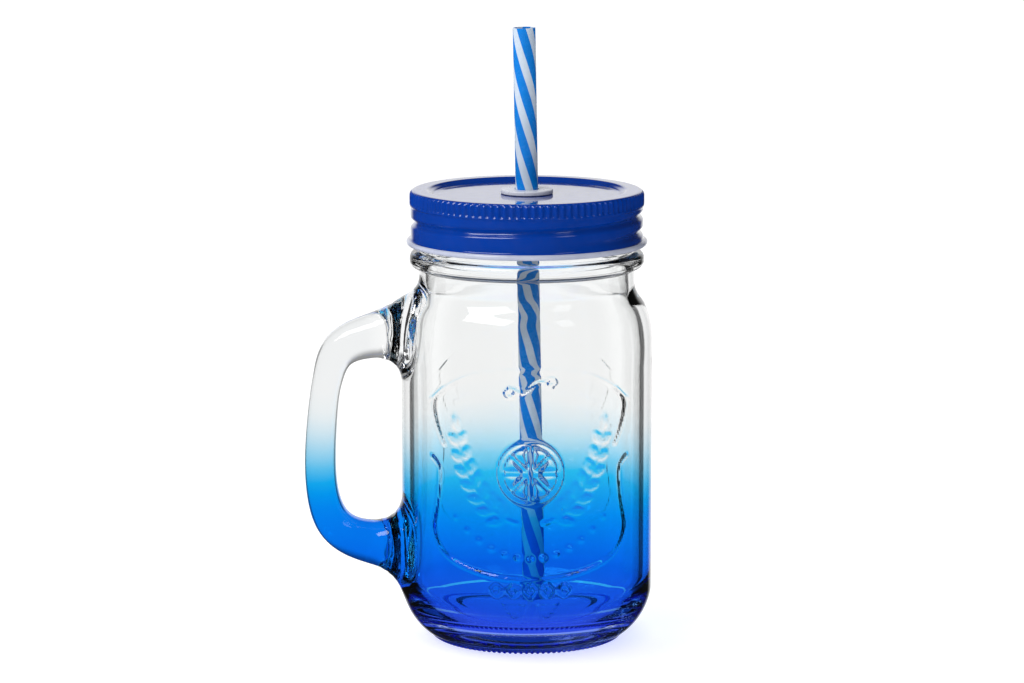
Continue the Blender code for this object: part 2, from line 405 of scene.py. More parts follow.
def sprayed_glass(settings):
    """Clear glass whose outside carries a translucent spray, dense at the foot and gone at the top.

    The handle's glass is thick, not hollow, and a little darker than the thin wall, partly for its thickness
    and partly as painted shade; its coat sits higher.
    """
    finish = Finish("sprayed_glass", Transmission_Weight=1.0, IOR=1.5)
    drift = finish.mottle(22.0, 2.0, -COAT_DRIFT, COAT_DRIFT, 0.15)
    point = finish.split(finish.place())
    lift = finish.spread(point["X"], AXIS_X - 60 * MM, AXIS_X - 45 * MM, -HANDLE_COAT_LIFT, 0.0)
    height = finish.maths("ADD", finish.maths("ADD", point["Z"], drift), lift)
    share = finish.spread(height, 0.0, COAT_TOP, 0.0, 1.0)
    stops = (
        (0.07, settings.foot_colour),
        (0.16, (0.003, 0.070, 0.74)),
        (0.22, settings.deep_colour),
        (0.28, (0.0005, 0.190, 0.92)),
        (0.36, (0.0005, 0.240, 0.95)),
        (0.40, settings.middle_colour),
        (0.45, (0.001, 0.385, 0.93)),
        (0.50, (0.070, 0.530, 0.92)),
        (0.555, settings.mist_colour),
        (0.62, (0.670, 0.860, 0.96)),
        (0.68, (0.920, 0.965, 0.982)),
        (0.75, settings.clear_colour),
    )
    # Where the handle's glass is darkened: partly for its thickness, partly as painted shade
    handle_tone_and_shade_share = finish.spread(point["X"], AXIS_X - 50 * MM, AXIS_X - 42 * MM, 1.0, 0.0)
    coat = finish.blend(handle_tone_and_shade_share, finish.ramp(share, stops), HANDLE_TONE_AND_PAINTED_SHADE, way="MULTIPLY")
    finish.feed(finish.shader, Base_Color=coat)
    finish.gloss(900.0, 2.0, 0.0, 0.02)
    return finish.material


def clear_glass():
    """The uncoated inside of the jar, with the faint greenish cast of soda glass."""
    finish = Finish("clear_glass", Transmission_Weight=1.0, IOR=1.5)
    finish.tones(finish.mottle(30.0, 2.0), (0.985, 0.995, 0.99), (0.995, 1.0, 0.998))
    finish.gloss(600.0, 2.0, 0.0, 0.01)
    return finish.material


def lid_enamel(settings):
    """Deep blue gloss enamel on tinplate, with a faint orange-peel flow in the gloss."""
    finish = Finish("lid_enamel", IOR=1.45, Coat_Weight=1.0, Coat_IOR=1.45, Coat_Roughness=0.04)
    colour = settings.enamel_colour
    finish.tones(finish.mottle(45.0, 3.0), scaled(colour, 0.9), scaled(colour, 1.08))
    finish.gloss(300.0, 3.0, 0.10, 0.20)
    finish.bump(700.0, 2.0, 0.05, 0.2 * MM)
    return finish.material


def lid_lacquer():
    """White food lacquer on the inside of the lid, which the curl rolls out into view."""
    finish = Finish("lid_lacquer", Coat_Weight=0.6, Coat_Roughness=0.08)
    finish.tones(finish.mottle(120.0, 3.0), (0.38, 0.41, 0.53), (0.46, 0.49, 0.61))
    finish.gloss(400.0, 2.0, 0.18, 0.3)
    return finish.material


def seal_compound():
    """Matt cream sealing compound."""
    finish = Finish("seal_compound")
    finish.tones(finish.mottle(300.0, 4.0), (0.72, 0.7, 0.64), (0.82, 0.8, 0.75))
    finish.gloss(900.0, 2.0, 0.5, 0.75)
    finish.bump(1500.0, 3.0, 0.2, 0.2 * MM)
    return finish.material


def grommet_vinyl(settings):
    """Soft grey translucent vinyl, slightly cloudy and slightly uneven."""
    finish = Finish("grommet_vinyl", Transmission_Weight=0.1, IOR=1.45)
    colour = settings.vinyl_colour
    finish.tones(finish.mottle(180.0, 3.0), scaled(colour, 0.97), colour)
    finish.gloss(500.0, 3.0, 0.22, 0.4)
    finish.bump(800.0, 2.0, 0.02, 0.1 * MM)
    return finish.material


STRIPE_START = 0.53
STRIPE_EDGE = 0.012


def striped_plastic(settings):
    """Two colours of polypropylene wound in left-hand stripes, read from the straw's own UV map.

    U runs once round the straw and V is the length in turns of one stripe, so that stripes are
    where the fraction of stripes x U + V is below the coloured share.
    """
    finish = Finish("striped_plastic", IOR=1.49, Specular_IOR_Level=0.3)
    chart = finish.split(finish.node("ShaderNodeUVMap", uv_map="wrap").outputs[0])
    turns = finish.maths("MULTIPLY", chart["X"], float(settings.stripes))
    start = finish.maths("ADD", chart["Y"], STRIPE_START)
    wander = finish.mottle(60.0, 2.0, -STRIPE_EDGE, STRIPE_EDGE)
    share = finish.maths("FRACT", finish.maths("ADD", finish.maths("ADD", turns, start), wander))
    black, white, end = (0.0,) * 3, (1.0,) * 3, settings.stripe_share
    mask = finish.ramp(share, ((0.0, black), (STRIPE_EDGE, white), (end - STRIPE_EDGE, white), (end, black)))
    cloud = finish.mottle(140.0, 3.0)
    ground = finish.blend(cloud, (0.44, 0.53, 0.64, 1.0), (0.52, 0.60, 0.70, 1.0))
    colour = settings.stripe_colour
    stripe = finish.blend(cloud, (*scaled(colour, 0.85), 1.0), (*colour, 1.0))
    finish.feed(finish.shader, Base_Color=finish.blend(mask, ground, stripe))
    finish.gloss(500.0, 2.0, 0.2, 0.32)
    return finish.material


def backdrop_acrylic():
    """Matt white acrylic with a barely visible tooth, lit faintly from below."""
    finish = Finish("backdrop_acrylic", Emission_Color=(1.0, 1.0, 1.0, 1.0), Emission_Strength=0.30)
    finish.tones(finish.noise(8.0), (0.90, 0.90, 0.91), (0.93, 0.93, 0.935))
    finish.gloss(40.0, 2.0, 0.85, 0.95)
    return finish.material


# The jar


def heel_line():
    """The heel from the body down to the bearing ring: a superellipse quarter with a dip at the foot line."""
    fall = np.linspace(0.0, 1.0, 400) ** 1.5
    r = BASE_R + (BODY_R - BASE_R) * (1.0 - fall**HEEL_POWER) ** (1.0 / HEEL_POWER)
    line = np.stack((r, HEEL_H * (1.0 - fall)), axis=1)
    dip = FOOT_LINE_DIP * crest((line[:, 0] - FOOT_LINE_R) / FOOT_LINE_HALF) * (line[:, 1] < HEEL_H / 4)
    return line + dip[:, None] * (-0.3, 1.0)


def through(points, step):
    """A smooth line through points, read every step along it."""
    return spaced(natural_spline(points, 400), step)


def neck_line():
    """From under the lip to the body: neck, half-round bead, neck, and the shoulder's S-curve."""
    z = np.arange(JAR_TOP - (NECK_R - MOUTH_R) / 2, NECK_LOW, -0.05)
    bulge = np.cbrt(np.maximum(1.0 - np.abs((z - BEAD_Z) / BEAD_HALF_H) ** 3, 0.0))
    r = softened(NECK_R + (BEAD_R + 0.1 - NECK_R) * bulge, 3.0)
    return joined(np.stack((r, z), axis=1), through(SHOULDER_OUTSIDE, 0.05))


def jar_outline():
    """(outline, outside): the whole section from the floor's centre round the lip to the base's centre."""
    inner_r = BODY_R - WALL
    floor_r, cove_z = inner_r - COVE[0], FLOOR_Z + COVE[1]
    floor = spaced(((0.0, FLOOR_Z), (floor_r, FLOOR_Z)), 3.0)
    cove = spaced(arc((floor_r, cove_z), COVE, -90, 0, 90), 1.0)
    wall = spaced(((inner_r, cove_z), SHOULDER_INSIDE[0]), 4.0)
    turn_in = through(SHOULDER_INSIDE, 1.0)
    lip_r = (NECK_R - MOUTH_R) / 2
    throat = spaced((SHOULDER_INSIDE[-1], (MOUTH_R, JAR_TOP - lip_r)), 3.0)
    inside = joined(floor, cove, wall, turn_in, throat)
    lip = spaced(arc((MOUTH_R + lip_r, JAR_TOP - lip_r), lip_r, 180, 0, 60), 0.5)
    neck = neck_line()
    threaded = spaced(neck[neck[:, 1] >= 124.0], 0.6)
    beaded = spaced(neck[(neck[:, 1] <= 124.05) & (neck[:, 1] >= 106.0)], 0.45)
    rounded = spaced(neck[neck[:, 1] <= 106.05], 0.8)
    panel = spaced((SHOULDER_OUTSIDE[-1], (BODY_R, HEEL_H)), 0.56)
    heel = spaced(heel_line(), 0.55)
    dome_r, dome_z = RING_INNER_R - PUSH_UP_COVE, PUSH_UP * 0.8
    under = joined(
        spaced(((BASE_R, 0.0), (RING_INNER_R, 0.0)), 1.6),
        spaced(arc((dome_r, 0.0), (PUSH_UP_COVE, dome_z), 0, 90, 30), 0.9),
        spaced(((dome_r, dome_z), (0.0, PUSH_UP)), 3.0),
    )
    outside = joined(lip, threaded, beaded, rounded, panel, heel, under)
    whole = joined(inside, outside)
    return whole, np.arange(len(whole)) >= len(inside)


def jar_angles():
    """Columns round the jar: close together on the panels and round the handle, wider elsewhere."""
    front = PANEL_HALF / BODY_R
    stretches = (
        (-front, front, 0.64),
        (front, math.pi - front, 2.2),
        (math.pi - front, math.pi + front, 0.9),
        (math.pi + front, math.pi * 1.5 - 0.5, 2.2),
        (math.pi * 1.5 - 0.5, math.pi * 1.5 + 0.5, 1.1),
        (math.pi * 1.5 + 0.5, math.tau - front, 1.6),
    )
    parts = []
    for start, end, step in stretches:
        count = max(1, round((end - start) * BODY_R / step))
        parts.append(np.linspace(start, end, count, endpoint=False))
    return FRONT + PANEL_TURN + np.concatenate(parts)


def near_line(lines, u, v):
    """The shortest distance from each point (u, v) to any piece of the lines."""
    best = np.full(np.shape(u), 1e3)
    for line in lines:
        for (x, y), (dx, dy) in zip(line[:-1], np.diff(line, axis=0)):
            t = np.clip(((u - x) * dx + (v - y) * dy) / (dx * dx + dy * dy), 0.0, 1.0)
            best = np.minimum(best, np.hypot(u - x - t * dx, v - y - t * dy))
    return best


def curl_line(x, y, radius, turns, start, sign):
    """A spiral that winds from its centre outwards, its radius growing with its angle."""
    t = np.linspace(0.12, 1.0, 26)
    a = start + sign * turns * math.tau * t
    return np.stack((x + radius * t * np.cos(a), y + radius * t * np.sin(a)), axis=1)


def frame_lines():
    """The label frame: an arch, and on each side a waisted edge with a hook and a bowl below."""
    arch = natural_spline(ARCH, 24)
    counts = ((SHIELD_TOP, 24), (SHIELD_HOOK, 8), (SHIELD_LOW, 48))
    right = [natural_spline(knots, count) for knots, count in counts]
    mirror = np.array((-1.0, 1.0))
    return [arch, arch * mirror], right + [line * mirror for line in right]


def scroll_lines():
    """A lying S with curled ends under the arch, and below the frame lozenges and barred scrolls."""
    t = np.linspace(-1.0, 1.0, 30)
    wave = np.stack((6.4 * t, 83.4 + 1.6 * np.sin(math.pi * t)), axis=1)
    left = curl_line(-6.6, 82.1, 2.1, 1.0, 0.4, 1.0)
    lines = [wave, left, curl_line(6.6, 84.7, 2.1, 1.0, 0.4 + math.pi, 1.0)]
    lozenge = np.array(((-1.5, 0.0), (0.0, 1.7), (1.5, 0.0), (0.0, -1.7), (-1.5, 0.0)))
    lines += [lozenge + (x, 20.6) for x in (-10.4, -5.2, 0.0, 5.2, 10.4)]
    for side in (-1.0, 1.0):
        lines.append(curl_line(side * 4.4, 13.4, 1.9, 1.1, math.pi / 2, side))
        for k in range(3):
            v = 16.6 - 1.25 * k
            lines.append(np.array(((side * (2.2 + 0.9 * k), v), (side * (8.2 - 0.6 * k), v))))
    return lines


def slice_lines():
    """A slice of fruit: a ring, and eight segments that each narrow towards the middle."""
    ring = np.linspace(0.0, math.tau, 60)
    lines = [np.stack((RING_R * np.cos(ring), SLICE_V + RING_R * np.sin(ring)), axis=1)]
    for k in range(8):
        a = math.tau * (k + 0.5) / 8
        t = np.linspace(-1.0, 1.0, 9)
        rim = SEGMENT_R * np.stack((np.cos(a + 0.30 * t), np.sin(a + 0.30 * t)), axis=1)
        core = np.array(((CORE_R * math.cos(a), CORE_R * math.sin(a)),))
        lines.append(np.concatenate((core, rim, core)) + (0.0, SLICE_V))
    return lines


def spray_lines_and_leaves():
    """A leafy spray on each side of the slice: a curved stem, and leaves in pairs along it."""
    stems, leaves = [], []
    for side in (-1.0, 1.0):
        t = np.linspace(0.0, 1.0, 24)
        stem = np.stack((side * (4.0 + 20.0 * np.sin(t * 1.35)), 41.5 + 27.0 * t**1.5), axis=1)
        stems.append(stem)
        for k in range(3, 22, 3):
            run = stem[k + 1] - stem[k - 1]
            heading = math.atan2(run[1], run[0])
            for turn in (0.75, -0.75):
                leaves.append((*stem[k], heading + turn, 7.2 - 0.13 * k, 1.55))
        leaves.append((*stem[-1], math.atan2(*(stem[-1] - stem[-3])[::-1]), 6.0, 1.4))
    return stems, leaves


def leaf_height(leaves, u, v):
    """Pointed pillows with a groove along the middle.

    The half width follows a sine along the leaf, and the height falls across it as a half ellipse.
    """
    best = np.zeros(np.shape(u))
    for x, y, heading, length, half in leaves:
        s = ((u - x) * math.cos(heading) + (v - y) * math.sin(heading)) / length
        w = (v - y) * math.cos(heading) - (u - x) * math.sin(heading)
        width = half * np.sin(math.pi * np.clip(s, 0.0, 1.0)) ** 0.8 + 1e-6
        pillow = np.sqrt(np.maximum(1.0 - (w / width) ** 2, 0.0)) * (1.0 - 0.45 * crest(w / 0.35))
        best = np.maximum(best, pillow * (s > 0) * (s < 1))
    return best


def bead_height(u, v):
    """A row of round beads that follows the bowl of the frame."""
    best = np.zeros(np.shape(u))
    for k in range(-6, 7):
        x = BEAD_PITCH * k
        y = BEADS_V + 0.020 * x * x
        best = np.maximum(best, crest(np.hypot(u - x, v - y) / PANEL_BEAD_R))
    return best


def panel_relief(u, v):
    """How far the ornaments stand out of the glass, as a share of their full height."""
    v = v - PANEL_RISE
    thin, bold = frame_lines()
    stems, leaves = spray_lines_and_leaves()
    scroll_height = np.where(v < FOOT_SCROLLS_V, 1.1, 0.8)
    drawn = (
        (thin, 0.6, 0.65),
        (bold, 1.0, 1.05),
        (scroll_lines(), scroll_height, 0.75),
        (slice_lines(), 0.9, 0.85),
        (stems, 0.7, 0.75),
    )
    relief = np.maximum(0.8 * leaf_height(leaves, u, v), 0.9 * bead_height(u, v))
    for lines, height, half in drawn:
        relief = np.maximum(relief, height * crest(near_line(lines, u, v) / half))
    return relief


def thread_height(angle):
    """Height of the lid's thread at an angle counted from the front; the glass's is half a pitch higher."""
    return LID_THREAD_Z + PITCH * (angle - THREAD_START) / math.tau


def helix(angles, z, whole, lift, half):
    """A rounded rib or groove along the thread's helix, fading out at both ends, from nothing to one."""
    total = np.zeros(np.broadcast_shapes(np.shape(angles), np.shape(z)))
    counted = (angles - FRONT) % math.tau
    for turn in (counted, counted + math.tau):
        run = turn - THREAD_START
        ends = np.clip(np.minimum(run, whole - run) / THREAD_FADE, 0.0, 1.0)
        total = np.maximum(total, ends * crest((z - thread_height(turn) - lift) / half))
    return total


def jar_push(outline, outside, angles, emboss):
    """What the ornaments and the thread add to the outline's radius."""
    z = np.repeat(outline[:, 1:], len(angles), axis=1)
    push = np.zeros_like(z)
    neck = outside & (outline[:, 1] > 125.0) & (outline[:, 0] > NECK_R - 0.2)
    thread = helix(angles[None, :], z[neck], GLASS_THREAD_TURN, PITCH / 2, GLASS_THREAD_HALF)
    push[neck] = GLASS_THREAD_H * thread
    body = outside & (outline[:, 1] > 8.0) & (outline[:, 1] < 98.0)
    for centre, share in ((FRONT, 1.0), (-FRONT, 0.8)):
        off = (angles - centre - PANEL_TURN + math.pi) % math.tau - math.pi
        near = np.abs(off) * BODY_R < PANEL_HALF
        block = np.ix_(body, near)
        u = np.broadcast_to(off[near] * BODY_R, push[block].shape)
        push[block] = emboss * share * panel_relief(u, z[block])
    return push


def handle_rings(count, sides):
    """Superellipse sections square to a spline through the stations, from one joint to the other."""
    x, z, thick, wide = natural_spline(HANDLE_STATIONS, count).T
    along = np.gradient(np.stack((x, z), axis=1), axis=0)
    along /= np.hypot(*along.T)[:, None]
    a = math.tau * (np.arange(sides) + 0.5) / sides
    power = 2.0 / HANDLE_POWER
    across = thick[:, None] * np.sign(np.cos(a)) * np.abs(np.cos(a)) ** power
    side = wide[:, None] * np.sign(np.sin(a)) * np.abs(np.sin(a)) ** power
    ring_x = x[:, None] - along[:, 1:] * across
    ring_z = z[:, None] + along[:, :1] * across
    rings = np.stack((ring_x, side, ring_z), axis=-1)
    first = np.broadcast_to((x[0], 0.0, z[0]), rings[:1].shape)
    last = np.broadcast_to((x[-1], 0.0, z[-1]), rings[:1].shape)
    return np.concatenate((first, rings, last))


def run_on(end, inside):
    """Stations past one end of the handle's path, straight on in the direction that it arrives in."""
    heading = (end - inside) * (1.0, 1.0, 0.0, 0.0) / np.hypot(*(end - inside)[:2])
    return end + heading * 0.35 * np.arange(1, 50)[:, None]


def handle_distance(points):
    """About how far points lie from the handle's surface, whose ends run on inside the jar.

    With q the superellipse's value in the nearest section, and d the distance from its centre, the
    surface is at d / q, so the distance is d (1 - 1 / q).
    """
    path = natural_spline(HANDLE_STATIONS, 500)
    path = np.concatenate((run_on(path[0], path[2])[::-1], path, run_on(path[-1], path[-3])))
    along = np.gradient(path[:, :2], axis=0)
    length = np.hypot(*along.T)
    along /= length[:, None]
    flat = points[:, (0, 2)]
    parts = np.array_split(flat, max(1, len(flat) // 2000))
    gaps = (((part[:, None] - path[None, :, :2]) ** 2).sum(-1) for part in parts)
    nearest = np.concatenate([np.argmin(gap, axis=1) for gap in gaps])
    ahead = ((flat - path[nearest, :2]) * along[nearest]).sum(-1) / length[nearest]
    at = np.clip(nearest + ahead, 0.0, len(path) - 1.001)
    low = at.astype(int)
    t = (at - low)[:, None]
    here = path[low] * (1.0 - t) + path[low + 1] * t
    heading = along[low] * (1.0 - t) + along[low + 1] * t
    off = flat - here[:, :2]
    across = heading[:, 0] * off[:, 1] - heading[:, 1] * off[:, 0]
    thick, wide = here[:, 2], here[:, 3]
    total = np.abs(across / thick) ** HANDLE_POWER + np.abs(points[:, 1] / wide) ** HANDLE_POWER
    q = np.maximum(total ** (1 / HANDLE_POWER), 1e-3)
    return np.hypot(across, points[:, 1]) * (1.0 - 1.0 / q)


def body_distance(points):
    """How far points lie outside the plain turned body, measured square to its outline."""
    neck = neck_line()
    panel = ((BODY_R, SHOULDER_OUTSIDE[-1][1]), (BODY_R, HEEL_H))
    line = spaced(joined(neck[neck[:, 1] < 116.0], panel, heel_line()), 0.2)[::-1]
    slope = np.gradient(line[:, 0], line[:, 1] + 1e-9 * np.arange(len(line)))
    r = np.interp(points[:, 2], line[:, 1], line[:, 0])
    lean = np.interp(points[:, 2], line[:, 1], np.clip(slope, -6.0, 6.0))
    return (np.hypot(points[:, 0], points[:, 1]) - r) / np.sqrt(1.0 + lean**2)


def smooth_union(points):
    """The field of both shapes: the smaller distance, less a share where the two are nearly equal."""
    first, second = body_distance(points), handle_distance(points)
    share = np.maximum(JOINT_BLEND - np.abs(first - second), 0.0) / JOINT_BLEND
    return np.minimum(first, second) - share**2 * JOINT_BLEND / 4.0


def slope_of(field, points):
    """The field's gradient by central differences."""
    step = 0.05
    rises = [field(points + d) - field(points - d) for d in np.eye(3) * step]
    return np.stack(rises, axis=1) / (2 * step)


def fillet_joints(obj):
    """Moves the skin near both joints on to the smooth union's zero surface, in a few Newton steps.

    Sums of sine waves then leave a slight pressed unevenness, strongest in a ring round each root.
    """
    mesh = obj.data
    co = np.empty(len(mesh.vertices) * 3, np.float32)
    mesh.vertices.foreach_get("co", co)
    points = (co.reshape(-1, 3).astype(float) - (AXIS_X, 0.0, 0.0)) / MM
    r = np.hypot(points[:, 0], points[:, 1])
    close = (points[:, 0] < -20.0) & (np.abs(points[:, 1]) < 27.0) & (r < 62.0) & (points[:, 2] < 114.0)
    close &= (body_distance(points) > -1.5) & (points[:, 2] > 0.3)
    near = np.where(close)[0]
    gap = np.abs(body_distance(points[near]) - handle_distance(points[near]))
    near = near[gap < JOINT_BLEND]
    moved = points[near]
    for _ in range(4):
        slope = slope_of(smooth_union, moved)
        moved = moved - (smooth_union(moved) / (slope**2).sum(-1))[:, None] * slope
    x, y, z = moved.T
    lump = np.sin(2.1 * z + 1.3 * y) * np.sin(1.7 * y - 1.1 * x) + 0.6 * np.sin(3.3 * z - 0.8 * x + 2.0)
    ring = np.exp(-((np.hypot(x, y) - ROOT_R) ** 2) / 14.0)
    root = ring * np.clip(8.0 - handle_distance(moved), 0.0, 8.0) / 8.0
    slope /= np.sqrt((slope**2).sum(-1))[:, None]
    points[near] = moved + (JOINT_RIPPLE * lump * root)[:, None] * slope
    mesh.vertices.foreach_set("co", (points * MM + (AXIS_X, 0.0, 0.0)).astype(np.float32).ravel())
    mesh.update()


def united(obj, other):
    """Joins another closed skin into obj, and removes it."""
    union = obj.modifiers.new("union", "BOOLEAN")
    union.operation = "UNION"
    union.solver = "EXACT"
    union.object = other
    graph = bpy.context.evaluated_depsgraph_get()
    mesh = bpy.data.meshes.new_from_object(obj.evaluated_get(graph))
    obj.modifiers.clear()
    obj.data = mesh
    bpy.data.objects.remove(other, do_unlink=True)


# The user's settings


def length(name, description, default):
    words = {"name": name, "description": description}
    return FloatProperty(**words, default=default, unit="LENGTH", precision=5)


def angle(name, description, degrees):
    return FloatProperty(name=name, description=description, default=math.radians(degrees), subtype="ANGLE")


def colour(name, description, default):
    return FloatVectorProperty(name=name, description=description, default=default, subtype="COLOR")


class GlassSettings(PropertyGroup):
    """Sizes and coat colours of the glass."""

    emboss: length("Emboss", "Height of the ornaments", 0.0008)
    foot_colour: colour("Foot", "Coat over the heel", (0.034, 0.082, 0.80))
    deep_colour: colour("Deep", "Coat low on the body", (0.001, 0.125, 0.86))
    middle_colour: colour("Middle", "Coat halfway up", (0.0005, 0.280, 0.945))
    mist_colour: colour("Mist", "Where the spray thins out", (0.31, 0.70, 0.94))
    clear_colour: colour("Clear", "Bare glass", (0.985, 0.99, 0.99))


class LidSettings(PropertyGroup):
    """Sizes and paint of the lid."""

    flutes: IntProperty(name="Flutes", description="Ribs round the knurled band", default=102, min=12)
    flute_depth: length("Flute depth", "Depth of the knurl", 0.00055)
    groove_depth: length("Groove depth", "Depth of the rolled thread", 0.0012)
    enamel_colour: colour("Enamel", "Paint of the lid", (0.0, 0.034, 0.28))


class StrawSettings(PropertyGroup):
    """Sizes and colours of the straw and its grommet."""

    radius: length("Radius", "Outer radius of the straw", 0.0035)
    wall: length("Wall", "Wall of the straw", 0.0005)
    stripes: IntProperty(name="Stripes", description="Coloured stripes round the straw", default=4, min=1)
    stripe_pitch: length("Pitch", "Rise of one stripe in a turn", 0.070)
    stripe_share: FloatProperty(
        name="Share", description="Part of the straw that is coloured", default=0.56, subtype="FACTOR"
    )
    stripe_colour: colour("Stripe", "Colour of the stripes", (0.0, 0.190, 0.65))
    vinyl_colour: colour("Grommet", "Colour of the grommet", (0.64, 0.66, 0.74))


class StageSettings(PropertyGroup):
    """Where the camera stands, where it looks and its lens."""

    distance: length("Distance", "Camera to the jar's axis", 1.3)
    height: length("Height", "Camera above the floor", 0.313)
    pitch: angle("Pitch", "How far the camera looks down", 9.6)
    yaw: angle("Yaw", "How far the camera looks to the left", 0.203)
    lens: FloatProperty(name="Lens", description="Focal length in millimetres", default=148.9)


class JarSettings(PropertyGroup):
    """All the settings of the drinking jar."""

    glass: PointerProperty(type=GlassSettings)
    lid: PointerProperty(type=LidSettings)
    straw: PointerProperty(type=StrawSettings)
    stage: PointerProperty(type=StageSettings)


# One operator for each piece


def dress(obj, body, materials, replaced=()):
    """Gives a finished piece its materials and its body, and hides the CAD nodes that it stands for."""
    obj.data.materials.clear()
    for material in materials:
        obj.data.materials.append(material)
    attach(obj, body)
    if replaced:
        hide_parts(*replaced)


def face_slots(obj, choose):
    """Sets each face's material by a rule on its centre: (radius, height) from the axis, in millimetres."""
    mesh = obj.data
    centres = np.empty(len(mesh.polygons) * 3, np.float32)
    mesh.polygons.foreach_get("center", centres)
    centres = (centres.reshape(-1, 3) - (AXIS_X, 0.0, 0.0)) / MM
    slots = choose(np.hypot(centres[:, 0], centres[:, 1]), centres[:, 2])
    mesh.polygons.foreach_set("material_index", slots.astype(np.int32))


class JAR_OT_glass(Operator):
    """Build the glass jar with its handle, thread, bead and embossed panels"""

    bl_idname = "jar.glass"
    bl_label = "Glass Jar"

    def execute(self, context):
        settings = context.scene.drinking_jar.glass
        outline, outside = jar_outline()
        angles = jar_angles()
        push = jar_push(outline, outside, angles, settings.emboss / MM)
        jar = surface("glass_body", revolve(outline, angles, push), poles=(True, True))
        handle = surface("glass_handle", handle_rings(110, 40), poles=(True, True))
        united(jar, handle)
        fillet_joints(jar)
        jar.data.shade_smooth()
        dress(jar, "jar", (sprayed_glass(settings), clear_glass()), ("glass_jar",))
        jar.visible_shadow = False
        face_slots(jar, lambda r, z: (r < np.interp(z, MID_WALL_Z, MID_WALL_R)) & (z > FLOOR_Z - 0.5))
        return {"FINISHED"}


FOOT_RIBS = 104
RIB_R = 28.6
RIB_Z = 0.62
RIB_LEAN = math.radians(22.0)
RIB_HALF = (1.5, 0.55, 0.42)


def base_ribs():
    """Short radial ribs on the foot's cone, each an ellipsoid half sunk into the glass, as one array."""
    p, q = np.meshgrid(np.linspace(0.0, math.pi, 7), np.arange(8, 0, -1) * math.tau / 8, indexing="ij")
    shape = (np.cos(p), np.sin(p) * np.cos(q), np.sin(p) * np.sin(q))
    along, across, up = (half * part for half, part in zip(RIB_HALF, shape))
    r = RIB_R + along * math.cos(RIB_LEAN) + up * math.sin(RIB_LEAN)
    z = RIB_Z + along * math.sin(RIB_LEAN) - up * math.cos(RIB_LEAN)
    a = np.arange(FOOT_RIBS)[:, None, None] * math.tau / FOOT_RIBS
    x = r * np.cos(a) - across * np.sin(a)
    y = r * np.sin(a) + across * np.cos(a)
    return np.stack((x, y, np.broadcast_to(z, x.shape)), axis=-1)


class JAR_OT_foot(Operator):
    """Build the ring of fine ribs round the foot of the glass"""

    bl_idname = "jar.foot"
    bl_label = "Foot Ribs"

    def execute(self, context):
        ribs = base_ribs()
        rows, cols = ribs.shape[1:3]
        first = np.arange(FOOT_RIBS)[:, None, None] * rows * cols
        faces = [(each + first).reshape(-1, each.shape[1]) for each in grid_faces(rows, cols, (True, True))]
        foot = skin("foot_ribs", ribs, faces)
        foot.visible_shadow = False
        foot.visible_diffuse = False
        dress(foot, "jar", (sprayed_glass(context.scene.drinking_jar.glass),))
        return {"FINISHED"}


# The lid

HOLE_R = 5.9
PANEL_R = 28.7
RIM_INNER_R = 31.3
RIM_OUTER_R = 34.7
SKIRT_R = 36.05
BAND_R = 36.35
BAND_LOW_Z = 136.3
CURL_R = 0.85
CURL_OUT = 0.45
CURL_Z = 124.75
SHEET = 0.3
HEM_R = 0.35
PANEL_COVE = 0.6
RIM_ROUND = (1.15, 0.9)
SHOULDER_R = 1.5
FLARE_H = 1.55
FLARE_ROUND = (0.75, 0.7)
FLUTE_FOOT = 0.85
FLUTE_HEAD = 1.0


def lid_outer():
    """The enamelled face from the hole in the panel, over the rim and down the skirt to the curl."""
    band_top, band_foot, skirt_top = LID_TOP - SHOULDER_R, BAND_LOW_Z + 1.0, BAND_LOW_Z - 0.5
    hem = arc((HOLE_R + HEM_R, PANEL_Z - HEM_R), HEM_R, 180, 90, 12)
    panel = ((HOLE_R + HEM_R, PANEL_Z), (PANEL_R, PANEL_Z))
    low = arc((PANEL_R, PANEL_Z + PANEL_COVE), PANEL_COVE, -90, -25, 14)
    high = arc((RIM_INNER_R, LID_TOP - RIM_ROUND[1]), RIM_ROUND, 150, 90, 16)
    rim = ((RIM_INNER_R, LID_TOP), (RIM_OUTER_R, LID_TOP))
    corner = arc((RIM_OUTER_R, band_top), (BAND_R - RIM_OUTER_R, SHOULDER_R), 90, 0, 30)
    band = ((BAND_R, band_top), (BAND_R, band_foot))
    step = ((BAND_R, band_foot), (BAND_R, BAND_LOW_Z), (SKIRT_R, skirt_top))
    skirt = ((SKIRT_R, skirt_top), (SKIRT_R, CURL_Z + FLARE_H))
    flare = arc((SKIRT_R + FLARE_ROUND[0], CURL_Z + FLARE_H), FLARE_ROUND, 180, 262, 10)
    return joined(
        spaced(hem, 0.12),
        spaced(panel, 2.0),
        spaced(joined(low, high), 0.22),
        spaced(rim, 0.6),
        spaced(corner, 0.22),
        spaced(band, 0.4),
        spaced(step, 0.14),
        spaced(skirt, 0.36),
        spaced(flare, 0.25),
    )


def lid_curl():
    """The rolled edge, white outside: a round bead from the end of the skirt round to the inner wall."""
    return spaced(arc((SKIRT_R + CURL_OUT, CURL_Z), CURL_R, 75, -185, 60), 0.2)


def lid_inner():
    """The lacquered face, one sheet thickness inside the enamelled one, back up to the hole."""
    outer = lid_outer()
    run = np.gradient(outer, axis=0)
    run /= np.hypot(*run.T)[:, None]
    inner = outer + SHEET * np.stack((run[:, 1], -run[:, 0]), axis=1)
    inner = inner[inner[:, 1] > CURL_Z + 1.0]
    keep = np.concatenate(([True], np.hypot(*np.diff(inner, axis=0).T) > 0.05))
    return inner[keep][::-1][2::3]


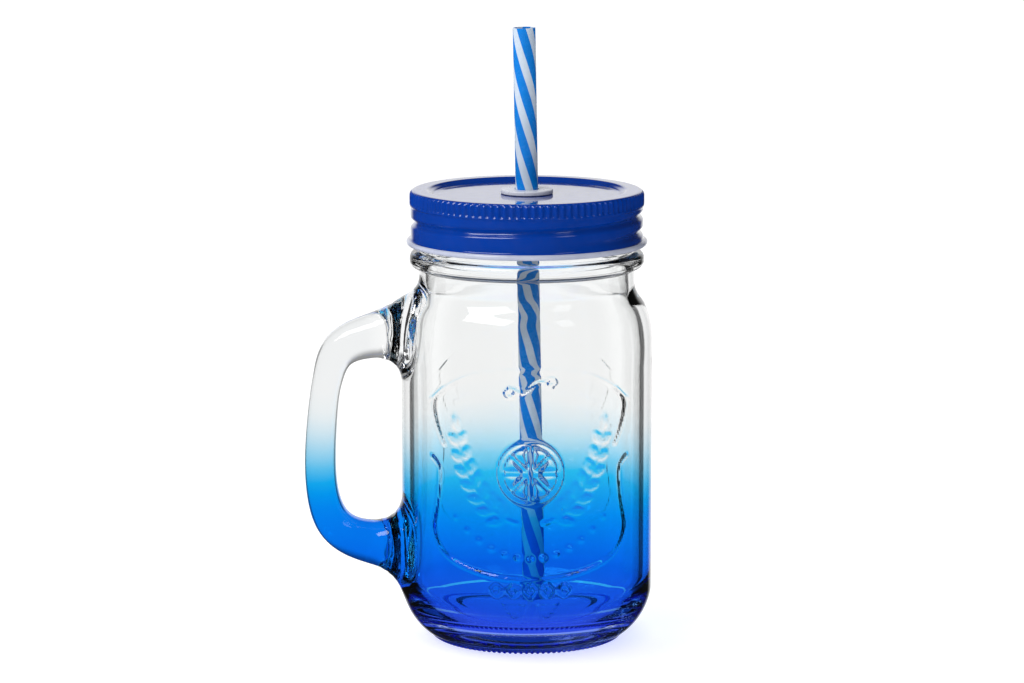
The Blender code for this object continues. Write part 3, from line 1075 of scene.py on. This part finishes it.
def lid_push(outline, angles, settings):
    """Flutes on the knurled band, and the rolled thread below it, added to the outline's radius."""
    z = outline[:, 1:]
    r = outline[:, :1]
    wave = (0.5 + 0.5 * np.cos(settings.flutes * (angles - FRONT)))[None, :]
    low_end = np.clip((z - BAND_LOW_Z) / FLUTE_FOOT, 0.0, 1.0)
    high_end = np.clip((LID_TOP - 0.3 - z) / FLUTE_HEAD, 0.0, 1.0)
    round_ends = low_end**2 * (3 - 2 * low_end) * np.sqrt(high_end * (2 - high_end))
    flutes = settings.flute_depth / MM * (wave - 1.0) * round_ends * (r > RIM_OUTER_R + 0.2)
    groove = helix(angles[None, :], z, LID_THREAD_TURN, 0.0, LID_THREAD_HALF)
    rolled = -settings.groove_depth / MM * groove * (z < BAND_LOW_Z) * (z > CURL_Z + 1.3)
    return flutes + rolled * (r > SKIRT_R - 1.0)


class JAR_OT_lid(Operator):
    """Build the screw lid with its knurled band, rolled thread and white curl"""

    bl_idname = "jar.lid"
    bl_label = "Screw Lid"

    def execute(self, context):
        settings = context.scene.drinking_jar.lid
        outer, curl, inner = lid_outer(), lid_curl(), lid_inner()
        outline = joined(outer, curl, inner)
        angles = even_angles(settings.flutes * 6)
        push = lid_push(outline, angles, settings)
        lid = surface("enamelled_lid", revolve(outline, angles, push), loop=True)
        dress(lid, "lid", (lid_enamel(settings), lid_lacquer()), ("lid_shell",))
        cols = len(angles)
        rows = np.arange(len(outline)) >= len(outer) - 1
        rows[-1] = True
        lid.data.polygons.foreach_set("material_index", np.repeat(rows, cols).astype(np.int32))
        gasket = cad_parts["lid_gasket"].data.materials
        gasket.clear()
        gasket.append(seal_compound())
        return {"FINISHED"}


# Grommet and straw

STRAW_LEAN = math.radians(1.0)
STRAW_BEVEL = 0.12
STRAW_COLUMNS = 64
FLOOR_GAP = 0.4
FLANGE_R = 8.1
FLANGE_H = 1.35
WAIST_R = 5.6
FOOT_R = 7.2
FOOT_H = 1.2
BORE_R = 3.72
FLANGE_LIFT = 0.12
CROWN_ROUND = 0.45
HEM_ROUND = 0.25
FOOT_ROUND = 0.4
TOE_ROUND = 0.3
MOUTH_ROUND = 0.35
FOOT_TAPER = 0.8


def grommet_outline():
    """A closed section: round-edged flange, waist in the hole, tapered foot, and bore."""
    low = PANEL_Z + FLANGE_LIFT
    top = low + FLANGE_H
    under = PANEL_Z - 0.5
    toe_z = under - FOOT_H + TOE_ROUND
    crown = arc((FLANGE_R - CROWN_ROUND, top - CROWN_ROUND), CROWN_ROUND, 90, 0, 12)
    hem = arc((FLANGE_R - HEM_ROUND, low + HEM_ROUND), HEM_ROUND, 0, -90, 8)
    foot = arc((FOOT_R - FOOT_ROUND, under - FOOT_ROUND), FOOT_ROUND, 90, 0, 8)
    toe = arc((FOOT_R - FOOT_TAPER - TOE_ROUND, toe_z), TOE_ROUND, 0, -90, 6)
    heel = arc((BORE_R + TOE_ROUND, toe_z), TOE_ROUND, -90, -180, 6)
    mouth = arc((BORE_R + MOUTH_ROUND, top - MOUTH_ROUND), MOUTH_ROUND, 180, 90, 8)
    waist = np.array(((WAIST_R, low), (WAIST_R, under)))
    return joined(crown, hem, waist, foot, toe, heel, mouth)


class JAR_OT_grommet(Operator):
    """Build the soft grommet that sits in the lid's hole"""

    bl_idname = "jar.grommet"
    bl_label = "Grommet"

    def execute(self, context):
        line = grommet_outline()
        closed = np.concatenate((line, line[:1]))
        outline = spaced(closed, 0.18)[:-1]
        grommet = surface("vinyl_grommet", revolve(outline, even_angles(96)), loop=True)
        material = grommet_vinyl(context.scene.drinking_jar.straw)
        dress(grommet, "grommet", (material,), ("straw_grommet",))
        return {"FINISHED"}


class JAR_OT_straw(Operator):
    """Build the striped straw, which leans slightly in its grommet"""

    bl_idname = "jar.straw"
    bl_label = "Straw"

    def execute(self, context):
        settings = context.scene.drinking_jar.straw
        outer_r = settings.radius / MM
        bore_r = outer_r - settings.wall / MM
        cos, sin = math.cos(STRAW_LEAN), math.sin(STRAW_LEAN)
        top = (STRAW_TOP - PANEL_Z) / cos - outer_r * sin
        low = -(PANEL_Z - FLOOR_Z - FLOOR_GAP) / cos
        bevel = STRAW_BEVEL
        outline = joined(
            arc((outer_r - bevel, top - bevel), bevel, 90, 0, 5),
            spaced(((outer_r, top - bevel), (outer_r, low + bevel)), 1.5),
            arc((outer_r - bevel, low + bevel), bevel, 0, -90, 5),
            arc((bore_r + bevel, low + bevel), bevel, -90, -180, 5),
            spaced(((bore_r, low + bevel), (bore_r, top - bevel)), 6.0),
            arc((bore_r + bevel, top - bevel), bevel, 180, 90, 5),
        )
        grid = revolve(outline, even_angles(STRAW_COLUMNS))
        x, y, z = np.moveaxis(grid, -1, 0)
        leant = np.stack((x * cos - z * sin, y, PANEL_Z + z * cos + x * sin), axis=-1)
        straw = surface("striped_straw", leant, loop=True)
        self.wrap(straw, outline, settings)
        dress(straw, "straw", (striped_plastic(settings),), ("straw",))
        return {"FINISHED"}

    def wrap(self, straw, outline, settings):
        """U once round, V in stripe pitches along; the last face's right side is at U = 1, so no seam."""
        rows, cols = len(outline), STRAW_COLUMNS
        v = outline[:, 1] * MM * settings.stripes / settings.stripe_pitch
        v = np.append(v, v[0])
        u = np.arange(cols + 1) / cols
        row, col = np.meshgrid(np.arange(rows), np.arange(cols), indexing="ij")
        corner_rows = np.stack((row, row + 1, row + 1, row), axis=-1)
        corner_cols = np.stack((col, col, col + 1, col + 1), axis=-1)
        chart = straw.data.uv_layers.new(name="wrap")
        values = np.stack((u[corner_cols], v[corner_rows]), axis=-1)
        chart.data.foreach_set("uv", values.astype(np.float32).ravel())


# Stage

TENT_LIGHT = 1.05
CARD_LIGHT = 0.45
EDGE_LIGHT = 0.05
SIDE_LIGHT = 0.06
SKY_LIGHT = 0.35
SKY_Z = (0.12, 0.42)
CARD_FOOT_Z = (-0.62, -0.42)
CARD_START = math.radians(33.0)
NARROW_CARD_END = math.radians(43.0)
CARD_END = math.radians(57.0)
SIDE_END = math.radians(115.0)
CARD_BLUR = math.radians(3.0)
GLOSS_Y = (0.86, 0.965)
GLOSS_LOW, GLOSS_HIGH = 0.02, 0.88
FILL_LEFT, FILL_RIGHT = 1.42, 0.18
FLOOR_R = 1500.0
STAGE_Z = -0.2
LAMP_AIM = (0.0, 0.0, 0.08)
WHITE = (1.0, 1.0, 1.0, 1.0)
# Each lamp's name, place and size in metres, power in watts and colour
LAMPS = (
    ("key_light", (-0.76, -0.70, 1.22), (1.1, 0.55), 10.5, (1.0, 0.99, 0.98)),
    ("fill_light", (0.75, -0.80, 1.00), (0.35, 0.5), 0.9, (0.97, 0.98, 1.0)),
)
GLASS_BOUNCES = 20
GLOSS_BOUNCES = 8


def add_softbox(name, place, size, power, tint):
    """A rectangular lamp that points at the jar."""
    light = bpy.data.lights.new(name, "AREA")
    light.shape = "RECTANGLE"
    light.size, light.size_y = size
    light.energy = power
    light.color = tint
    lamp = bpy.data.objects.new(name, light)
    lamp.location = place
    lamp.rotation_euler = (Vector(LAMP_AIM) - Vector(place)).to_track_quat("-Z", "Y").to_euler()
    bpy.context.scene.collection.objects.link(lamp)


class Sky(Nodes):
    """The world's light, worked out from the direction that a ray leaves in."""

    def smooth(self, value, ends, first, last):
        return self.spread(value, *ends, first, last, ease="SMOOTHSTEP")

    def both(self, first, second):
        return self.maths("MULTIPLY", first, second)

    def band(self, value, start, end):
        """One between two angles, with soft edges."""
        rise = self.smooth(value, (start - CARD_BLUR, start + CARD_BLUR), 0.0, 1.0)
        return self.both(rise, self.smooth(value, (end - CARD_BLUR, end + CARD_BLUR), 1.0, 0.0))


def paint_world():
    """A white tent round the jar, whose dark cards and black front draw the edges of the glass.

    Angles are counted from straight behind the jar to either side. A ray that was only refracted
    meets a narrow grey card on each side. One that was also mirrored inside the glass meets wide,
    nearly black cards, and fading light from the sides to the front. One that was only mirrored
    off an outer surface meets light straight behind the jar alone. Matt surfaces are lit from the
    left.
    """
    world = bpy.data.worlds.new("studio")
    bpy.context.scene.world = world
    world.use_nodes = True
    sky = Sky(world.node_tree)
    direction = sky.split(sky.node("ShaderNodeTexCoord").outputs["Generated"])
    path = sky.node("ShaderNodeLightPath").outputs
    turn = sky.maths("ARCTAN2", sky.maths("ABSOLUTE", direction["X"]), direction["Y"])
    mirrored = sky.maths("MINIMUM", path["Glossy Depth"], 1.0)
    refracted = sky.maths("MINIMUM", path["Transmission Depth"], 1.0)
    overhead = sky.smooth(direction["Z"], SKY_Z, 1.0, SKY_LIGHT)
    level = sky.smooth(direction["Z"], CARD_FOOT_Z, 0.0, 1.0)
    card = sky.both(sky.band(turn, CARD_START, CARD_END), level)
    front_card = sky.both(sky.band(turn, math.pi - CARD_END, math.pi - CARD_START), level)
    narrow_card = sky.both(sky.band(turn, CARD_START, NARROW_CARD_END), level)
    tent = sky.both(sky.smooth(narrow_card, (0.0, 1.0), TENT_LIGHT, CARD_LIGHT), overhead)
    cards = sky.maths("MAXIMUM", card, front_card)
    edges = sky.both(sky.smooth(cards, (0.0, 1.0), TENT_LIGHT, EDGE_LIGHT), overhead)
    side = sky.both(sky.smooth(turn, (CARD_END, SIDE_END), 0.0, 1.0), level)
    edges = sky.both(edges, sky.smooth(side, (0.0, 1.0), 1.0, SIDE_LIGHT))
    gloss = sky.smooth(direction["Y"], GLOSS_Y, GLOSS_LOW, GLOSS_HIGH)
    seen = sky.blend(mirrored, tent, sky.blend(refracted, gloss, edges, "FLOAT"), "FLOAT")
    fill = sky.smooth(direction["X"], (-1.0, 1.0), FILL_LEFT, FILL_RIGHT)
    light = sky.blend(path["Is Diffuse Ray"], seen, fill, "FLOAT")
    sky.feed(sky.tree.nodes["Background"], Color=WHITE, Strength=light)
    world.cycles.sampling_method = "NONE"


class JAR_OT_stage(Operator):
    """Lay the pale floor, set the light and how often it may bounce, and place the camera"""

    bl_idname = "jar.stage"
    bl_label = "Stage"

    def execute(self, context):
        settings = context.scene.drinking_jar.stage
        rings = np.array(((FLOOR_R, STAGE_Z), (FLOOR_R / 2, STAGE_Z), (0.0, STAGE_Z)))
        floor = surface("floor", revolve(rings, even_angles(64)), poles=(False, True))
        floor.data.flip_normals()
        floor.data.materials.append(backdrop_acrylic())
        floor.visible_glossy = False
        floor.visible_transmission = False
        paint_world()
        for lamp in LAMPS:
            add_softbox(*lamp)
        camera = bpy.data.objects.new("camera", bpy.data.cameras.new("camera"))
        camera.data.lens = settings.lens
        camera.data.sensor_width = 36.0
        camera.location = (AXIS_X, -settings.distance, settings.height)
        camera.rotation_euler = (math.pi / 2 - settings.pitch, 0.0, settings.yaw)
        context.scene.collection.objects.link(camera)
        context.scene.camera = camera
        context.scene.view_settings.view_transform = "Standard"
        light_paths = context.scene.cycles
        light_paths.max_bounces = light_paths.transmission_bounces = GLASS_BOUNCES
        light_paths.glossy_bounces = GLOSS_BOUNCES
        return {"FINISHED"}


class JAR_PT_panel(Panel):
    """Buttons for each piece of the jar"""

    bl_label = "Drinking Jar"
    bl_idname = "JAR_PT_panel"
    bl_space_type = "VIEW_3D"
    bl_region_type = "UI"
    bl_category = "Jar"

    def draw(self, context):
        settings = context.scene.drinking_jar
        column = self.layout.column()
        for group in (settings.glass, settings.lid, settings.straw, settings.stage):
            for name in group.__annotations__:
                column.prop(group, name)
        for operator in PIECES:
            column.operator(operator.bl_idname)


PIECES = (JAR_OT_stage, JAR_OT_glass, JAR_OT_foot, JAR_OT_lid, JAR_OT_grommet, JAR_OT_straw)
CLASSES = (GlassSettings, LidSettings, StrawSettings, StageSettings, JarSettings, *PIECES, JAR_PT_panel)


def register():
    for each in CLASSES:
        bpy.utils.register_class(each)
    bpy.types.Scene.drinking_jar = PointerProperty(type=JarSettings)


def unregister():
    del bpy.types.Scene.drinking_jar
    for each in reversed(CLASSES):
        bpy.utils.unregister_class(each)


def main():
    register()
    bpy.ops.jar.stage()
    bpy.ops.jar.glass()
    bpy.ops.jar.foot()
    bpy.ops.jar.lid()
    bpy.ops.jar.grommet()
    bpy.ops.jar.straw()


if __name__ == "__main__":
    main()
